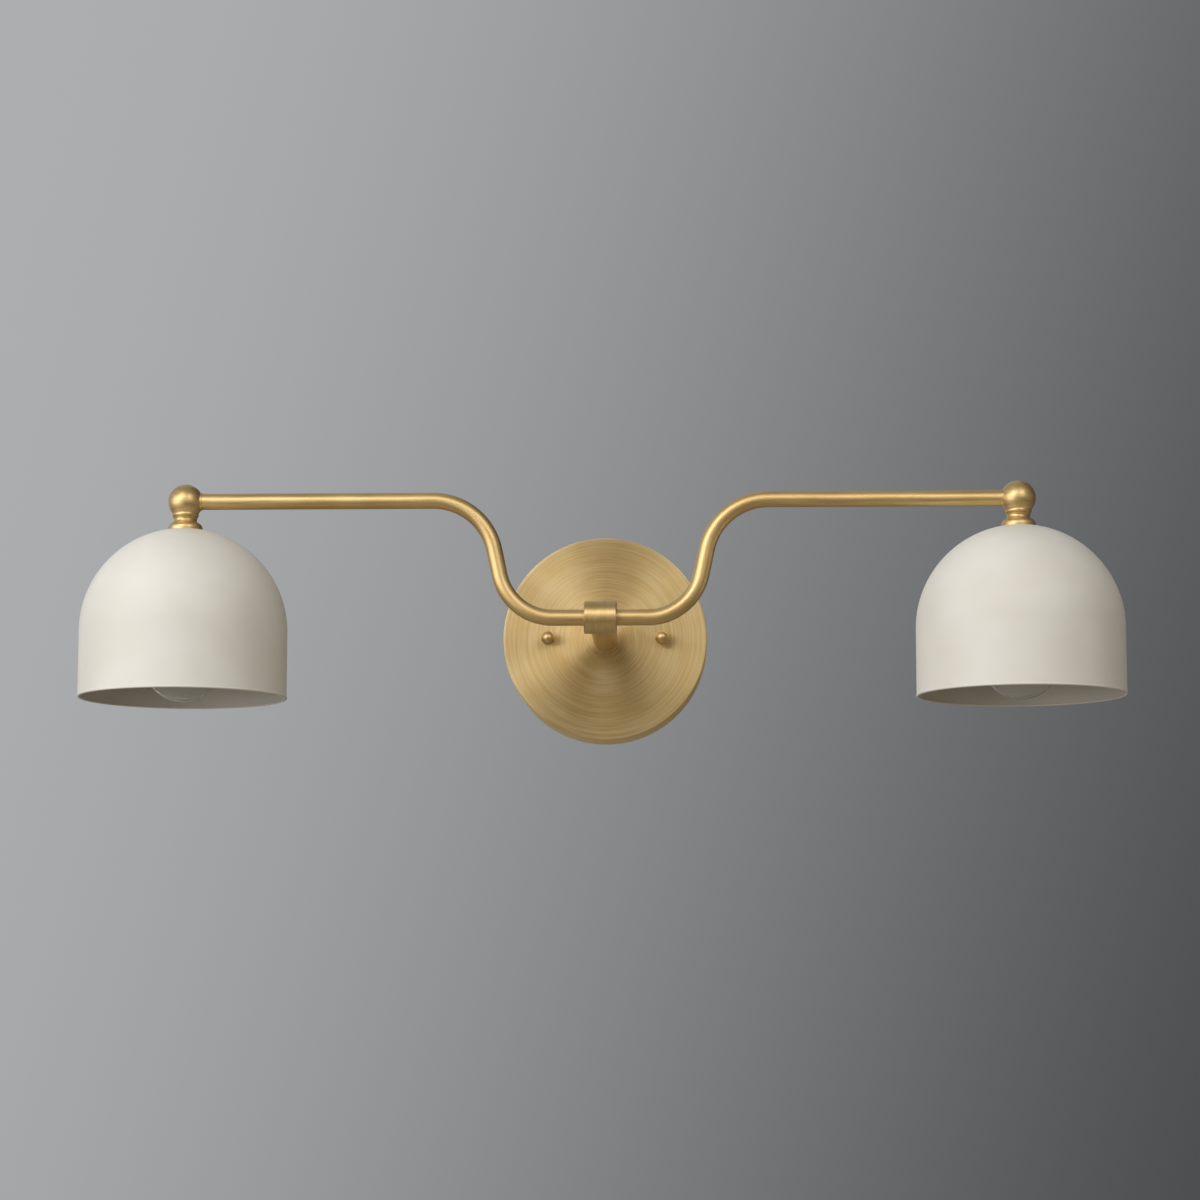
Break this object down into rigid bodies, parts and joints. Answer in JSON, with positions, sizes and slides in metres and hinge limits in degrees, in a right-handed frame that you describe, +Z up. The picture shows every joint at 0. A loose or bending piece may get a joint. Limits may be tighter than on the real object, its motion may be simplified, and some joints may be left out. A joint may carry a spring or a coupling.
{
  "type": "double arm wall sconce",
  "caption": "Wall sconce with a round backplate, a bent brass tube held in a collar on a post, and dome shades that tilt on ball knuckles at its ends, each with a bulb.",
  "frame": {"origin": "centre of the round backplate, on the wall plane", "axes": "+Z up, +X to the right of a person facing the wall, -Y out of the wall into the room"},
  "size_m": [0.6097, 0.1908, 0.1423],
  "materials": {
    "brushed_brass": "brushed satin brass, lacquered",
    "shade_enamel": "matte cream powder coat",
    "clear_glass": "clear blown glass",
    "zinc_steel": "zinc plated steel",
    "dark_screws": "blackened steel",
    "green_screw": "green coated steel",
    "connector_caps": "moulded thermoplastic",
    "wire_sleeve": "extruded insulation",
    "glazed_ceramic": "glazed porcelain",
    "contact_brass": "bright drawn brass",
    "bulb_base_metal": "rolled thin metal",
    "black_glass": "black vitreous insulator",
    "filament_wire": "drawn wire, wound"
  },
  "bodies": {
    "wall_mount": {"mounting_plate": "zinc_steel", "fixture_studs": "zinc_steel", "stud_lock_nuts": "zinc_steel", "ground_screw": "green_screw", "backplate": "brushed_brass", "cap_nuts": "brushed_brass", "post_seat_ring": "brushed_brass", "post": "brushed_brass", "post_nipple": "zinc_steel", "nipple_washer": "zinc_steel", "nipple_nut": "zinc_steel", "collar": "brushed_brass", "collar_grub_screw": "dark_screws", "wire_connectors": "connector_caps", "post_leads": "wire_sleeve"},
    "arm": {"arm_tube": "brushed_brass", "arm_leads": "wire_sleeve", "left_arm_spigot": "brushed_brass", "right_arm_spigot": "brushed_brass"},
    "left_head": {"left_ball": "brushed_brass", "left_ball_pin": "dark_screws", "left_nipple": "zinc_steel", "left_neck": "brushed_brass", "left_shade": "shade_enamel", "left_shade_ring_nut": "zinc_steel", "left_socket_cup": "brushed_brass", "left_head_washer": "zinc_steel", "left_head_nut": "zinc_steel", "left_socket_body": "glazed_ceramic", "left_socket_shell": "contact_brass", "left_socket_contact": "contact_brass", "left_terminal_screws": "zinc_steel", "left_head_lead": "wire_sleeve"},
    "left_bulb": {"left_bulb_glass": "clear_glass", "left_bulb_base": "bulb_base_metal", "left_bulb_insulator": "black_glass", "left_bulb_tip": "bulb_base_metal", "left_bulb_stem": "clear_glass", "left_bulb_filament": "filament_wire"},
    "right_head": {"right_ball": "brushed_brass", "right_ball_pin": "dark_screws", "right_nipple": "zinc_steel", "right_neck": "brushed_brass", "right_shade": "shade_enamel", "right_shade_ring_nut": "zinc_steel", "right_socket_cup": "brushed_brass", "right_head_washer": "zinc_steel", "right_head_nut": "zinc_steel", "right_socket_body": "glazed_ceramic", "right_socket_shell": "contact_brass", "right_socket_contact": "contact_brass", "right_terminal_screws": "zinc_steel", "right_head_lead": "wire_sleeve"},
    "right_bulb": {"right_bulb_glass": "clear_glass", "right_bulb_base": "bulb_base_metal", "right_bulb_insulator": "black_glass", "right_bulb_tip": "bulb_base_metal", "right_bulb_stem": "clear_glass", "right_bulb_filament": "filament_wire"}
  },
  "joints": [
    {"name": "arm_turn", "type": "hinge", "parent": "wall_mount", "child": "arm", "pos_m": [0, -0.13, 0], "axis": [1, 0, 0], "range_deg": [-20, 20]},
    {"name": "left_shade_tilt", "type": "hinge", "parent": "arm", "child": "left_head", "pos_m": [-0.244, -0.13, 0.0695], "axis": [1, 0, 0], "range_deg": [-45, 45]},
    {"name": "right_shade_tilt", "type": "hinge", "parent": "arm", "child": "right_head", "pos_m": [0.244, -0.13, 0.0695], "axis": [1, 0, 0], "range_deg": [-45, 45]},
    {"name": "left_bulb_out", "type": "slide", "parent": "left_head", "child": "left_bulb", "axis": [0, 0, -1], "range_m": [0, 0.085]},
    {"name": "right_bulb_out", "type": "slide", "parent": "right_head", "child": "right_bulb", "axis": [0, 0, -1], "range_m": [0, 0.085]}
  ]
}
